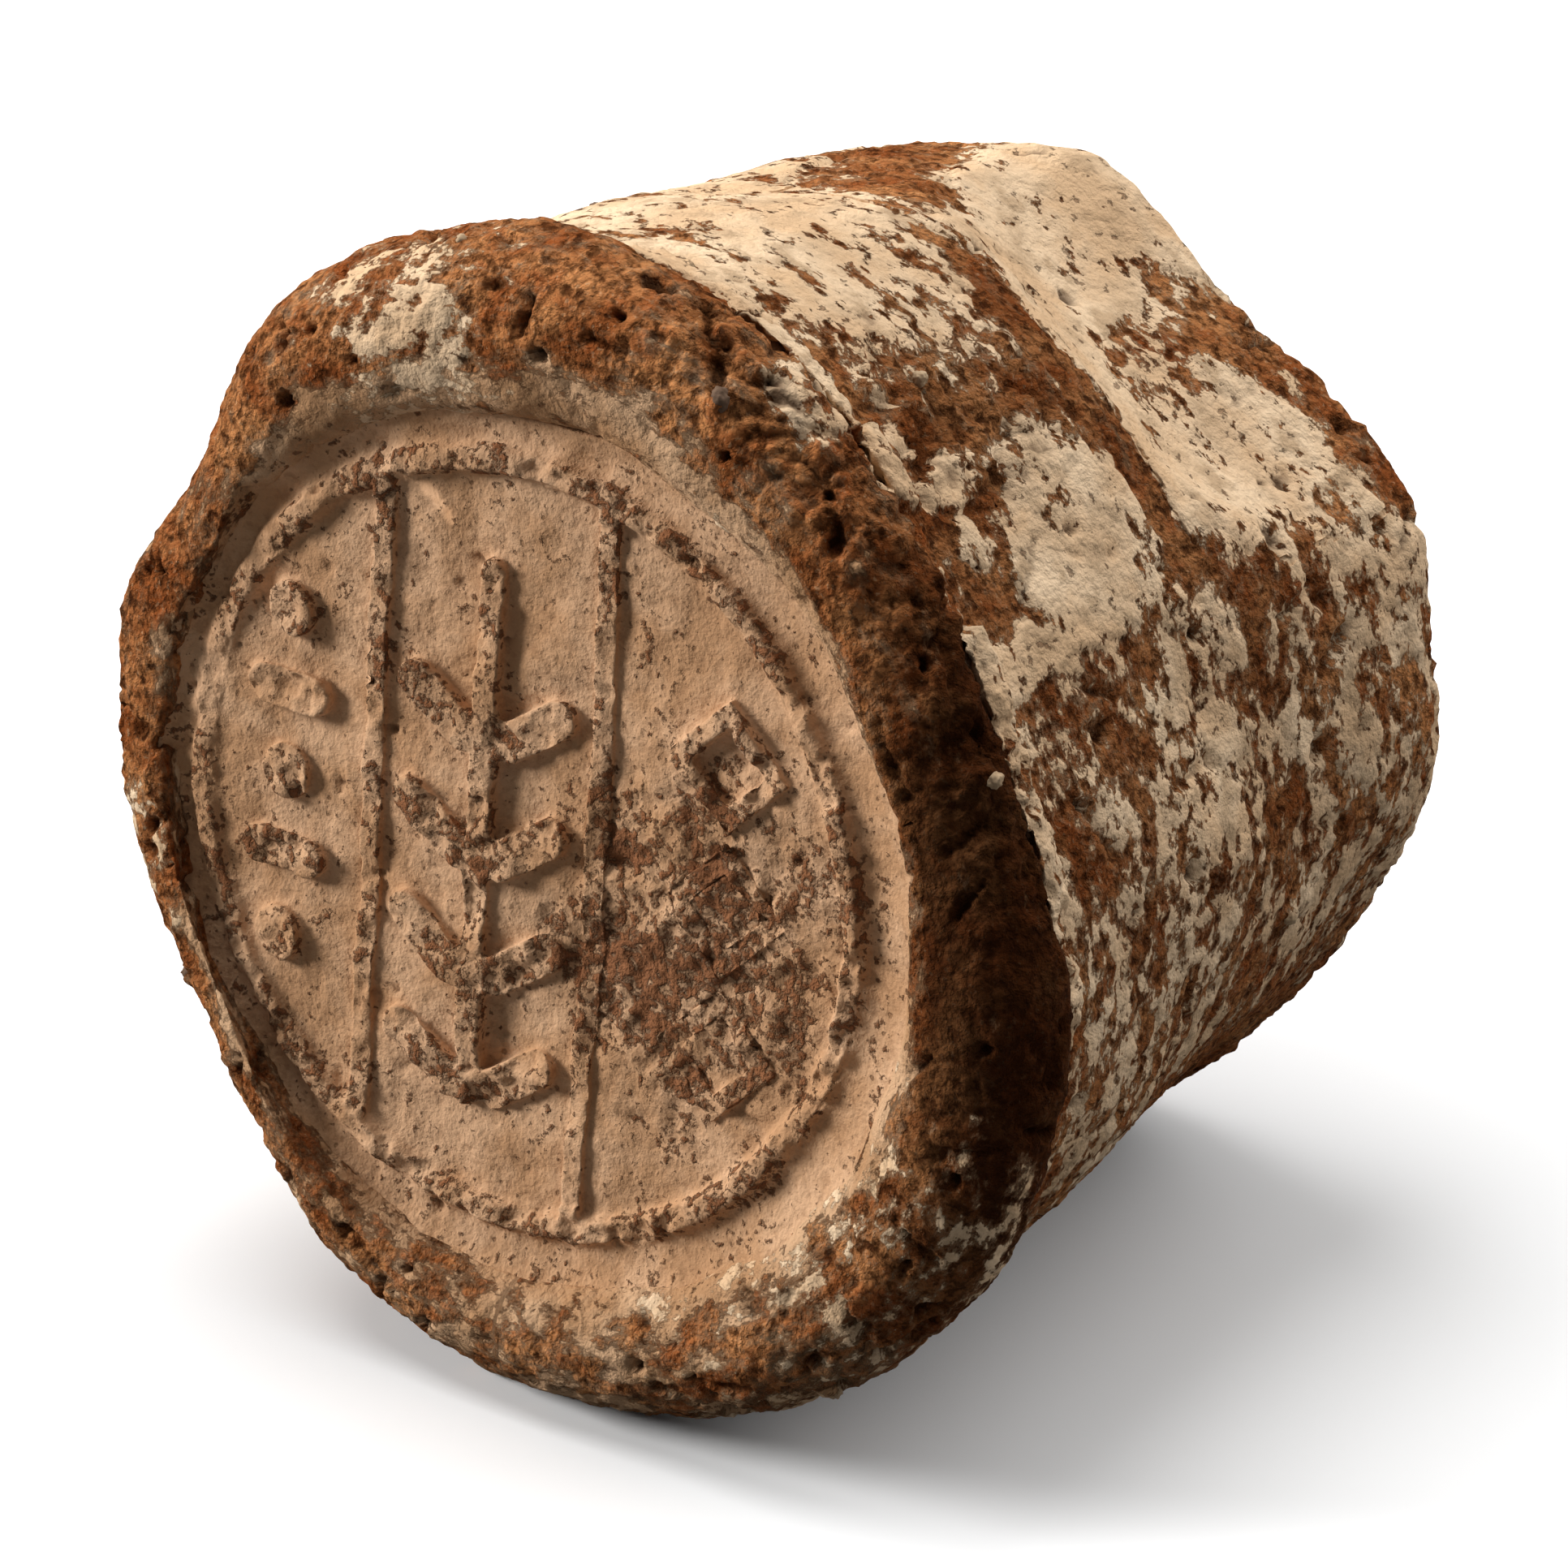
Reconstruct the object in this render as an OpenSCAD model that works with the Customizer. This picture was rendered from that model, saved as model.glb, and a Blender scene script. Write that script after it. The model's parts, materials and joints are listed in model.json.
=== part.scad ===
// Funerary cone: the stamped head and the broken shank of a fired clay cone.
// Millimetres. The cone is drawn about its own axis: +Y runs from the stamped face
// to the broken end, and Y = 0 is the plain front of the stamped pad. An angle is
// counted about that axis from +X towards +Z. The cone is then laid on its side,
// on the flats that it dried on, with Z = 0 as the surface under it.

/* [Stamped pad] */
// Radius to the middle of the raised ring
ring_r = 27.2; // [25:0.2:30]
// Width of the raised ring at its foot
ring_w = 2.6; // [1.6:0.2:4]
// Height of the stamped relief above the pad
relief_h = 1.3; // [0.6:0.1:2]
// Plain margin of the pad outside the ring
pad_margin = 2; // [1:0.5:4]
// Thickness of the pad
pad_t = 3.5; // [2.5:0.5:4]
// How far the stamp sits off the axis, along X
stamp_x = -1; // [-2:0.5:0.5]
// How far the stamp sits off the axis, along Z
stamp_z = -1; // [-2:0.5:0.5]
// Width of the two upright divider lines
divider_w = 1.6; // [1:0.2:2.4]
// Place of the left divider line, from the stamp's middle
divider_left = -12.5; // [-15:0.5:-10]
// Place of the right divider line, from the stamp's middle
divider_right = 6; // [4:0.5:9]
// Width of the bars in the ornament
bar_w = 2.8; // [1.6:0.2:3.4]

/* [Collar] */
// Width of the rim outside the pad, on its full side
rim_w = 11.8; // [11:0.2:14]
// Radial half-width of the collar's roll
roll_half_w = 6; // [4:0.5:6.5]
// How far the lip stands in front of the pad
lip_h = 3.5; // [2.5:0.5:5]
// How far the lip is beaten down on the pressed side
lip_press = 1.5; // [0:0.5:2]
// Direction of the pressed side
press_dir = 30; // [0:5:60]
// How far the pressed side is flattened
press_depth = 5.5; // [0:0.5:6]

/* [Shank] */
// Length from the pad's front to the broken end
shank_len = 60; // [50:1:80]
// Radius at the broken end
tail_r = 36; // [30:0.5:38]
// How far the shank lies below the collar's crest
neck_drop = 2.5; // [1:0.5:4]
// Distance from the pad's front to the seam behind the collar, on the axis
seam_y = 8.5; // [8.5:0.5:12]
// Slope of the seam's plane towards the pressed side
seam_slope = 0.1; // [0:0.02:0.1]
// Rounding of the broken end's edge
tail_round = 5; // [3:0.5:8]
// Depth of the thumb hollow near the broken end
hollow_d = 4.5; // [1:0.5:6]
// Direction of the thumb hollow
hollow_dir = 60; // [45:1:75]
// Half of the angle that the thumb hollow spans
hollow_half = 30; // [20:1:35]
// Distance from the broken end to the thumb hollow's deepest point
hollow_back = 15; // [10:0.5:18]
// Length of the thumb hollow in front of its deepest point
hollow_fore = 14; // [8:1:18]
// Length that the thumb hollow fades out over behind its deepest point
hollow_aft = 20; // [16:1:26]
// Height of the lumps that the hands left on the shank
knead_h = 0.7; // [0:0.1:1]
// Spacing of those lumps
knead_pitch = 18; // [14:1:26]
// How far the break stands out of the broken end
break_h = 2.4; // [0.5:0.1:4]
// Height of the crags on the break
crag_h = 2; // [0:0.1:3]
// Spacing of those crags
crag_pitch = 13; // [10:0.5:18]

/* [Coats] */
// Thickness of the lime wash
wash_t = 0.8; // [0.4:0.1:1.5]
// Thickness of the lime that fills the seam
seam_fill_t = 1.2; // [0.6:0.1:2]
// Gap under a coat, and round the pad, the neck and each grit
fit_gap = 0.15; // [0.1:0.05:0.3]

/* [Rest] */
// Depth of the drying flats under the collar and the shank
flat_d = 0.9; // [0.5:0.1:1.5]

/* [Hidden] */

// Clay and coat colours
clay_brown = "#8a5434";
clay_tan = "#a98a68";
lime_cream = "#d9c3a0";
grit_grey = "#8f8a86";

// Sizes that follow from the driving ones
pad_r = ring_r + ring_w / 2 + pad_margin;
bore_r = pad_r + fit_gap;
collar_r = pad_r + rim_w;
end_y = shank_len;
wash_rim_t = wash_t / 4;

// Steps of the modelled surfaces
angle_step = 5;
angles = [0 : angle_step : 360 - angle_step];
shank_steps = 22;
phi_step = 15;

// Places on the collar's roll, and how far back its crest lies between the lip and the seam
back_phi = -60;
lip_phi = 90;
bore_phi = 180;
crest_share = 0.62;

// Hollows of the collar's outline: direction, half-angle, depth
collar_dents = [
    [press_dir, 36, press_depth],
    [150, 14, 2.6],
    [180, 46, 3.2],
    [-141, 24, 3.8],
    [-90, 30, 0.8]
];

// A place on the shank is a direction and a share of the way from the seam to the broken end.
// Swellings and dips of the shank: direction, share, half-angle, half-share, height. They fade
// in behind the seam.
shank_lumps = [
    [8, 0.5, 16, 0.25, -0.9],
    [-38, 0.75, 26, 0.4, -2.4],
    [140, 0.75, 20, 0.24, -1.4],
    [178, 0.3, 24, 0.2, -1.2],
    [205, 0.7, 22, 0.24, 0.9],
    [238, 0.4, 16, 0.24, -1]
];
lump_fade = 4;

// Waves that cross to make the kneaded lumps: share of the waves round the shank, share of the
// waves along it, start
knead_waves = [
    [1, 0.1, 0],
    [0.65, 0.7, 70],
    [0.5, -0.85, 200]
];
knead_turns = 2 * PI * tail_r / knead_pitch;
dried_half = 25;

// Runs of crags on the break: the direction they lie across, their spacing as a share, start. The
// rings that the break is drawn on are shares of its outline.
crag_runs = [
    [35, 1, 70],
    [100, 1.35, 15],
    [155, 0.85, 120]
];
crag_mean = 0.6;
break_rings = [0.88, 0.75, 0.62, 0.48, 0.34, 0.2, 0.07];

// Lime left on the shank: direction from the thumb hollow, share, half-angle, half-share, turn
// of its outline
shank_patches = [
    [-46, 0.22, 11, 0.1, 90],
    [-62, 0.46, 14, 0.09, 10],
    [-72, 0.8, 15, 0.11, 150],
    [-42, 0.7, 8, 0.11, 300],
    [58, 0.7, 14, 0.17, 250],
    [90, 0.3, 17, 0.16, 70],
    [136, 0.54, 18, 0.19, 20],
    [162, 0.84, 13, 0.09, 120]
];

// The same for the lime between the seam and the thumb hollow, in shares of that stretch
fore_patches = [
    [32, 0.5, 20, 0.36, 40],
    [-17, 0.6, 12, 0.3, 200]
];

// Lime on the collar: direction, place on the roll, half-angle, half-width on the roll, turn
collar_patches = [
    [105, 100, 10, 34, 60],
    [-32, 96, 20, 38, 170],
    [64, 24, 6, 22, 320],
    [-68, 62, 10, 24, 20],
    [186, 48, 10, 26, 110]
];

// Lime in the seam: the angles that it runs between, and its reach over the collar and the shank
seam_from = -14;
seam_to = 92;
seam_steps = 40;
seam_bead_phi = 20;
seam_bead_len = 2.6;

// Grit in the collar: direction, place on the roll, radius
collar_grit = [
    [22, 20, 0.9],
    [70, 66, 1.3],
    [104, 30, 0.8],
    [-52, 30, 1],
    [212, 35, 1.1]
];

// Grit in the shank: direction from the thumb hollow, share, radius
shank_grit = [
    [3, 0.18, 0.9],
    [-72, 0.61, 1],
    [62, 0.42, 1.1],
    [155, 0.25, 0.9]
];

// Depth of a grit's middle under the skin, in its own radii
grit_sunk = 0.45;

// Angle between -180 and 180
function near_turn(a) = a - 360 * round(a / 360);
function mix(a, b, t) = a + (b - a) * t;
function ease(t) = t * t * (3 - 2 * t);
function total(v) = v * [for (x = v) 1];
function bell(u, v) = exp(-u * u - v * v);

// Points about the cone's axis and about the stamp's middle
function polar(r, a, y) = [r * cos(a), y, r * sin(a)];
function stamp_polar(r, a, y) = polar(r, a, y) + [stamp_x, 0, stamp_z];

// The seam's sloping plane between the collar and the shank
function seam_at(p) = seam_y - seam_slope * (p[0] * cos(press_dir) + p[2] * sin(press_dir));
function on_seam(p) = [p[0], seam_at(p), p[2]];

// The collar's roll: its crest, its lip, and a point on its skin. phi runs from the seam
// over the crest (0) and the lip (90) to the pad's edge (180), and off lifts the point.
function crest_r(a) = collar_r - total([for (d = collar_dents) d[2] * bell(near_turn(a - d[0]) / d[1], 0)]);
function lip_at(a) = lip_h - lip_press * bell(near_turn(a - press_dir) / 45, 0);
function roll_r(a) = crest_r(a) - roll_half_w;
function back_r(a) = roll_r(a) + roll_half_w * cos(back_phi);
function back_y(a) = seam_at(polar(back_r(a), a, 0));
function crest_y(a) = mix(-lip_at(a), back_y(a), crest_share);
function roll_half_len(a, phi) =
    phi < 0 ? (back_y(a) - crest_y(a)) / sin(-back_phi) : crest_y(a) + lip_at(a);
function outer_skin(a, phi, off) =
    polar(roll_r(a) + (roll_half_w + off) * cos(phi), a,
          crest_y(a) - (roll_half_len(a, phi) + off) * sin(phi));
function inner_skin(a, phi, off) =
    let (lip = polar(roll_r(a), a, 0),
         edge = stamp_polar(bore_r - off, a, 0),
         turn = phi - lip_phi)
    mix(lip, edge, sin(turn)) - [0, (lip_at(a) + off) * cos(turn), 0];
function collar_skin(a, phi, off = 0) =
    phi <= lip_phi ? outer_skin(a, phi, off) : inner_skin(a, phi, off);

// The shank's skin: t runs from the seam (0) to the broken end (1)
function neck_r(a) = crest_r(a) - neck_drop;
function neck_y(a) = seam_at(polar(neck_r(a), a, 0));
function skin_len(a) = end_y - neck_y(a);
function skin_y(a, t) = neck_y(a) + skin_len(a) * t;
function lumps(a, t) =
    total([for (l = shank_lumps) l[4] * bell(near_turn(a - l[0]) / l[2], (t - l[1]) / l[3])]);
function knead(a, y) =
    knead_h / len(knead_waves) * (1 - bell(near_turn(a - down) / dried_half, 0))
    * total([for (w = knead_waves) sin(round(w[0] * knead_turns) * a + 360 * w[1] * y / knead_pitch + w[2])]);
function hollow(a, y) =
    let (from_deepest = y - end_y + hollow_back,
         u = near_turn(a - hollow_dir) / hollow_half,
         v = from_deepest / (from_deepest < 0 ? hollow_fore : hollow_aft))
    hollow_d * max(0, 1 - u * u - v * v);
function end_round(y) =
    let (u = max(0, y - end_y + tail_round) / tail_round)
    tail_round * (1 - sqrt(1 - u * u));
function shank_r(a, t) =
    let (y = skin_y(a, t))
    mix(neck_r(a), tail_r, ease(t)) + (lumps(a, t) + knead(a, y)) * min(1, t * lump_fade)
    - hollow(a, y) - end_round(y);
function shank_skin(a, t, off = 0) = polar(shank_r(a, t) + off, a, skin_y(a, t));

// The uneven break across the broken end, at a share f of its outline: a low swelling with crags
function crag(p, run) =
    let (across = p[0] * cos(run[0]) + p[2] * sin(run[0]))
    abs(sin(180 * across / crag_pitch / run[1] + run[2]));
function crags(p) = crag_h * (total([for (run = crag_runs) crag(p, run)]) / len(crag_runs) - crag_mean);
function break_y(a, f) =
    end_y + break_h * (1 - f * f) * (0.6 + 0.4 * sin(2 * a + 200 * f) * f) + crags(polar(f * tail_r, a, 0));

// How the cone lies: it touches under the collar's crest and near the broken end
down = -90;
touch_head = [crest_y(down), crest_r(down)];
touch_tail = [end_y - tail_round, tail_r];
lie_tilt = atan((touch_head[1] - touch_tail[1]) / (touch_tail[0] - touch_head[0]));
lie_lift = touch_head[1] * cos(lie_tilt) + touch_head[0] * sin(lie_tilt) - flat_d;
lie_shift = touch_head[0] * cos(lie_tilt) - touch_head[1] * sin(lie_tilt);
floor_span = 4 * (shank_len + collar_r);

module lie_down() {
    translate([0, -lie_shift, lie_lift])
        rotate([-lie_tilt, 0, 0])
            children();
}

module under_floor() {
    translate([-floor_span / 2, -floor_span / 2, -floor_span])
        cube(floor_span);
}

// Triangles between rings of equally many points, from ring to ring
function sleeve(n, rings) = [
    for (i = [0 : rings - 2], j = [0 : n - 1])
        let (a = i * n + j, b = i * n + (j + 1) % n)
        each [[a, b, a + n], [b, b + n, a + n]]
];

// A closed solid from rings, each end closed by a fan on its own middle point
module capped_rings(rings, first_mid, last_mid) {
    n = len(rings[0]);
    m = len(rings);
    points = [for (ring = rings) each ring, first_mid, last_mid];
    caps = [
        for (j = [0 : n - 1])
            let (k = (j + 1) % n)
            each [[k, j, n * m], [n * (m - 1) + j, n * (m - 1) + k, n * m + 1]]
    ];
    polyhedron(points, concat(sleeve(n, m), caps));
}

// A closed solid from sections that follow each other round a loop
module looped_sections(sections) {
    n = len(sections[0]);
    m = len(sections);
    points = [for (section = sections) each section];
    faces = [for (f = sleeve(n, m + 1)) [for (k = f) k % (n * m)]];
    polyhedron(points, faces);
}

// One flake of lime on a skin: its outline has lobes, and its edge thins out. way is 1 where the
// skin's second value runs to the front, and -1 where it runs to the broken end.
function lobe(phi, turn) = 1 + 0.17 * sin(3 * phi + turn) + 0.1 * sin(5 * phi - 2 * turn);
lobe_most = 1.27;
flake_sides = 20;
flake_shares = [0.35, 0.7, 0.92, 1];
function flake_lift(s) = wash_rim_t + (wash_t - wash_rim_t) * sqrt(1 - pow(s, 4));
function flake_ring(s, lift, patch, skin, way) = [
    for (i = [0 : flake_sides - 1])
        let (phi = way * 360 * i / flake_sides,
             r = s * lobe(phi, patch[4]))
        skin(patch[0] + patch[2] * r * cos(phi), patch[1] + patch[3] * r * sin(phi), lift)
];
module flake(patch, skin, way) {
    top = [for (s = flake_shares) flake_ring(s, fit_gap + flake_lift(s), patch, skin, way)];
    back = [
        for (i = [len(flake_shares) - 1 : -1 : 0])
            flake_ring(flake_shares[i], fit_gap, patch, skin, way)
    ];
    capped_rings(concat(top, back),
                 skin(patch[0], patch[1], fit_gap + wash_t),
                 skin(patch[0], patch[1], fit_gap));
}
on_collar = function (a, phi, lift) collar_skin(a, phi, lift);
on_shank = function (a, t, lift) shank_skin(hollow_dir + a, t, lift);
fore_from = seam_bead_len + 2 * fit_gap;
fore_to = function (a) skin_len(a) - hollow_back - hollow_fore;
on_fore = function (a, share, lift)
    let (dir = hollow_dir + a)
    shank_skin(dir, mix(fore_from, fore_to(dir), share) / skin_len(dir), lift);

// Coarse straw-tempered clay: the neck that carries the pad, and the tapered shank
module shank_solid() {
    neck = [
        [for (a = angles) stamp_polar(pad_r, a, pad_t)],
        [for (a = angles) on_seam(stamp_polar(pad_r, a, 0))]
    ];
    skin = [
        for (i = [0 : shank_steps])
            [for (a = angles) shank_skin(a, i / shank_steps)]
    ];
    broken = [
        for (f = break_rings)
            [for (a = angles) polar(f * shank_r(a, 1), a, break_y(a, f))]
    ];
    capped_rings(concat(neck, skin, broken), [stamp_x, pad_t, stamp_z], [0, break_y(0, 0), 0]);
}

// The roll of clay round the head, with the bore that the neck and the pad sit in
module collar_solid() {
    looped_sections([
        for (a = angles)
            concat(
                [for (phi = [back_phi : phi_step : bore_phi]) collar_skin(a, phi)],
                [on_seam(stamp_polar(bore_r, a, 0))]
            )
    ]);
}

// Grit stones, or with a gap the pockets that they sit in
module stones(skins, list, gap) {
    for (i = [0 : len(list) - 1])
        translate(skins[i])
            sphere(r = list[i][2] + gap, $fn = 32);
}
collar_stones = [for (g = collar_grit) collar_skin(g[0], g[1], -g[2] * grit_sunk)];
shank_stones = [for (g = shank_grit) shank_skin(hollow_dir + g[0], g[1], -g[2] * grit_sunk)];

module shank() {
    color(clay_brown)
        difference() {
            lie_down()
                difference() {
                    shank_solid();
                    stones(shank_stones, shank_grit, fit_gap);
                }
            under_floor();
        }
}

module head_collar() {
    color(clay_brown)
        difference() {
            lie_down()
                difference() {
                    collar_solid();
                    stones(collar_stones, collar_grit, fit_gap);
                }
            under_floor();
        }
}

// The stamped pad is drawn flat, facing +Z, and then stood up to face the front
module bar(length, width) {
    square([length - width, width], center = true);
    for (side = [-1, 1])
        translate([side * (length - width) / 2, 0])
            circle(d = width, $fn = 32);
}

// An upright line from the ring's top to its foot
module divider(at) {
    translate([at, 0])
        square([divider_w, 2 * sqrt(ring_r * ring_r - at * at)], center = true);
}

// A palm frond: a stem with pairs of leaves, which fill the middle column
frond_leaves = 4;
frond_pitch = 8.5;
stem_len = 40;
stem_w = 2;
leaf_angle = 35;
leaf_len = (divider_right - divider_left - divider_w) * 0.45;
module frond() {
    rotate(90)
        bar(stem_len, stem_w);
    for (i = [0 : frond_leaves - 1], side = [-1, 1])
        translate([side * leaf_len / 2, (i - frond_leaves / 2) * frond_pitch])
            rotate(side * leaf_angle)
                bar(leaf_len, bar_w);
}

// A string of beads with short bars between them
bead_d = 4;
bead_pitch = 12;
short_bar_len = 7;
module bead_string() {
    for (i = [-1 : 1])
        translate([0, i * bead_pitch])
            circle(d = bead_d, $fn = 32);
    for (i = [-1, 1])
        translate([0, i * bead_pitch / 2])
            bar(short_bar_len, bar_w);
}

// Lozenges, one above the other
lozenge_side = 5.5;
lozenge_pitch = 10.5;
module lozenges() {
    for (i = [-1 : 1])
        translate([0, i * lozenge_pitch])
            rotate(45)
                difference() {
                    square(lozenge_side + bar_w / 2, center = true);
                    square(lozenge_side - bar_w / 2, center = true);
                }
}

module ornament() {
    translate([(divider_left + divider_right) / 2, 0])
        frond();
    translate([(divider_left - ring_r) / 2, 0])
        bead_string();
    translate([(divider_right + ring_r) / 2, 0])
        lozenges();
}

module raised_ring() {
    rotate_extrude($fn = 96)
        polygon([
            [ring_r - ring_w / 2, 0],
            [ring_r + ring_w / 2, 0],
            [ring_r + ring_w / 4, relief_h],
            [ring_r - ring_w / 4, relief_h]
        ]);
}

module stamped_pad() {
    color(clay_tan)
        lie_down()
            translate([stamp_x, 0, stamp_z])
                rotate([90, 0, 0]) {
                    translate([0, 0, -pad_t])
                        cylinder(r = pad_r, h = pad_t, $fn = 96);
                    raised_ring();
                    linear_extrude(relief_h)
                        intersection() {
                            circle(r = ring_r, $fn = 96);
                            union() {
                                divider(divider_left);
                                divider(divider_right);
                                ornament();
                            }
                        }
                }
}

// Lime wash that is left on the shank, in flakes
module shank_wash() {
    color(lime_cream)
        lie_down() {
            for (patch = shank_patches)
                flake(patch, on_shank, -1);
            for (patch = fore_patches)
                flake(patch, on_fore, -1);
        }
}

// The thick lime that pooled in the thumb hollow
hollow_t = 1 - hollow_back / skin_len(hollow_dir);
pool_half_t = min(hollow_back, hollow_fore) / lobe_most / skin_len(hollow_dir);
module hollow_wash() {
    color(lime_cream)
        lie_down()
            flake([0, hollow_t, hollow_half / lobe_most, pool_half_t, 0], on_shank, -1);
}

module collar_wash() {
    color(lime_cream)
        lie_down()
            for (patch = collar_patches)
                flake(patch, on_collar, 1);
}

// Lime in the seam: a bead across the collar's back and the shank's edge, thinning at its ends
function seam_section(i) =
    let (a = mix(seam_from, seam_to, i / seam_steps),
         lift = fit_gap + seam_fill_t * (0.25 + 0.75 * sin(180 * i / seam_steps)),
         edge = fit_gap / skin_len(a),
         reach = seam_bead_len / skin_len(a))
    [
        collar_skin(a, back_phi + seam_bead_phi, fit_gap),
        collar_skin(a, back_phi + seam_bead_phi / 2, fit_gap),
        shank_skin(a, edge, fit_gap),
        shank_skin(a, edge + reach, fit_gap),
        shank_skin(a, edge + reach * 0.6, lift),
        collar_skin(a, back_phi + seam_bead_phi * 0.7, lift)
    ];
function centre_of(points) = [for (k = [0 : 2]) total([for (p = points) p[k]]) / len(points)];
module seam_fill() {
    sections = [for (i = [0 : seam_steps]) seam_section(i)];
    color(lime_cream)
        lie_down()
            capped_rings(sections, centre_of(sections[0]), centre_of(sections[seam_steps]));
}

// Limestone and dark grit in the clay
module temper_grit() {
    color(grit_grey)
        lie_down() {
            stones(collar_stones, collar_grit, 0);
            stones(shank_stones, shank_grit, 0);
        }
}

shank();
head_collar();
stamped_pad();
shank_wash();
hollow_wash();
collar_wash();
seam_fill();
temper_grit();
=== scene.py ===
# %% [markdown]
# # A stamped clay cone head
# The object is the stamped end of a fired clay cone, of the kind that was set in rows in the mud
# plaster over a tomb door with only the round face showing. The thin end has broken off behind the
# wide head, and it lies on the floor on two worn spots. Old lime wash clings to it in patches.
# The CAD solids fix every place and size. This lesson takes the same solids and weathers them.

# %% Load the frame
import json
import math
import random

import bpy
import numpy as np
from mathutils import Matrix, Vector, kdtree, noise

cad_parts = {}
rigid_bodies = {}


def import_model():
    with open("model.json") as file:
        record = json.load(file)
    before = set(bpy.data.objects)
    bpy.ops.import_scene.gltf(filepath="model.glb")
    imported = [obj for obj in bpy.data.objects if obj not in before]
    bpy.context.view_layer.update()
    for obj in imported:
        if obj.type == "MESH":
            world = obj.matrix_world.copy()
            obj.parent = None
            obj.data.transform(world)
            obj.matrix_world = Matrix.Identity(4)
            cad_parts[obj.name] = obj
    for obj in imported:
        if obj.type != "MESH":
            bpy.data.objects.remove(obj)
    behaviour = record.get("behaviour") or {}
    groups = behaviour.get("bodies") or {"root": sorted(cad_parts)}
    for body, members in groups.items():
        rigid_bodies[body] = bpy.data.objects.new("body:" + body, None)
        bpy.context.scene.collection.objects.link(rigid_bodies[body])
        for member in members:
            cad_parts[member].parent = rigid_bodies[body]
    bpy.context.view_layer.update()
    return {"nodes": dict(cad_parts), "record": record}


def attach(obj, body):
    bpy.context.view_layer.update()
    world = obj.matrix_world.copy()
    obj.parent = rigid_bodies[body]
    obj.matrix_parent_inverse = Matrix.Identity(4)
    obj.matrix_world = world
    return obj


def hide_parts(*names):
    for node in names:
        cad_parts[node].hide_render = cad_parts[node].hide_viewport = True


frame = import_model()
MM = 0.001
print("nodes:", ", ".join(sorted(frame["nodes"])))

# %% [markdown]
# ## The cone's own directions
# The cone lies tilted, so marks are easier to place by the angle round its axis and the depth behind
# the face than by world x, y and z. The record's wall mount gives the axis, so nothing is guessed.
# Seen from the front, 0 degrees is on the right and 90 is at the top.

# %% Cone directions
wall = next(m for m in frame["record"]["mounts"] if m["name"] == "wall_shank")
AXIS = np.array(Vector(wall["axis"]).normalized())
HEART = np.array(wall["pos_m"])
SIDE = np.array((1.0, 0.0, 0.0))
UP = np.cross(SIDE, AXIS)


def on_cone(spots):
    """Angle round the axis in degrees, then depth behind the face and radius in mm."""
    arm = (spots - HEART) / MM
    across, high = arm @ SIDE, arm @ UP
    return np.degrees(np.arctan2(high, across)), arm @ AXIS, np.hypot(across, high)


def away(spots):
    """Unit vectors that point straight out from the axis."""
    arm = spots - HEART
    arm = arm - np.outer(arm @ AXIS, AXIS)
    return arm / np.linalg.norm(arm, axis=1, keepdims=True)


def turn(angle, middle):
    """Degrees from the middle, the short way round."""
    return (angle - middle + 180) % 360 - 180


def round_about(angle, middle, half):
    """1 at the middle angle, falling off in a soft bell on both sides."""
    return np.exp(-(turn(angle, middle) / half) ** 2)


print("axis", AXIS.round(4), "up", UP.round(4))

# %% [markdown]
# ## Tools for a mesh
# Every piece starts as a copy of its CAD node, so that it stays where the node is. These small tools
# select a piece, apply a modifier, read and move vertices, and keep numbers on them for the materials.

# %% Mesh helpers
def pick(piece):
    bpy.ops.object.select_all(action="DESELECT")
    piece.select_set(True)
    bpy.context.view_layer.objects.active = piece


def work(piece, kind, **settings):
    """Adds one modifier, sets it and applies it."""
    pick(piece)
    step = piece.modifiers.new(kind.title(), kind)
    for key, value in settings.items():
        setattr(step, key, value)
    bpy.ops.object.modifier_apply(modifier=step.name)


def copy_of(node, name):
    piece = bpy.data.objects.new(name, frame["nodes"][node].data.copy())
    bpy.context.scene.collection.objects.link(piece)
    piece.data.materials.clear()
    return piece


def spots_of(piece):
    flat = np.empty(3 * len(piece.data.vertices))
    piece.data.vertices.foreach_get("co", flat)
    return flat.reshape(-1, 3)


def outward_of(piece):
    flat = np.empty(3 * len(piece.data.vertices))
    piece.data.vertex_normals.foreach_get("vector", flat)
    return flat.reshape(-1, 3)


def put(piece, spots):
    """Moves the vertices, and flattens what would go below the floor."""
    spots = spots.copy()
    spots[:, 2] = np.maximum(spots[:, 2], 0)
    piece.data.vertices.foreach_set("co", spots.ravel())
    piece.data.update()


def paint(piece, name, values):
    """Keeps one number for each vertex, for the material to read."""
    layer = piece.data.attributes.get(name) or piece.data.attributes.new(name, "FLOAT", "POINT")
    layer.data.foreach_set("value", values.astype(np.float32))


def mark(piece, name, share):
    """Keeps a share for each vertex as a vertex group, for a modifier to read."""
    group = piece.vertex_groups.new(name=name)
    for i in np.flatnonzero(share > 0):
        group.add([int(i)], float(share[i]), "REPLACE")


print("mesh helpers ready")

# %% [markdown]
# ## From a CAD solid to soft clay
# A CAD mesh is long thin triangles, which can't carry a crumbly surface. A voxel remesh gives small
# even squares, and a Smooth modifier rubs off the facets, as a wet thumb does. The size of a square
# is a little under the smallest crumb that has to stand out, and what is finer is left to bump. The
# clay has pockets for grit. They are plugged before the remesh, because the stones that show are
# smaller than their pockets, and open cups would show round them.

# %% Clay helpers
GRAIN_R = 36
JOIN = 0.001 * MM


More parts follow.
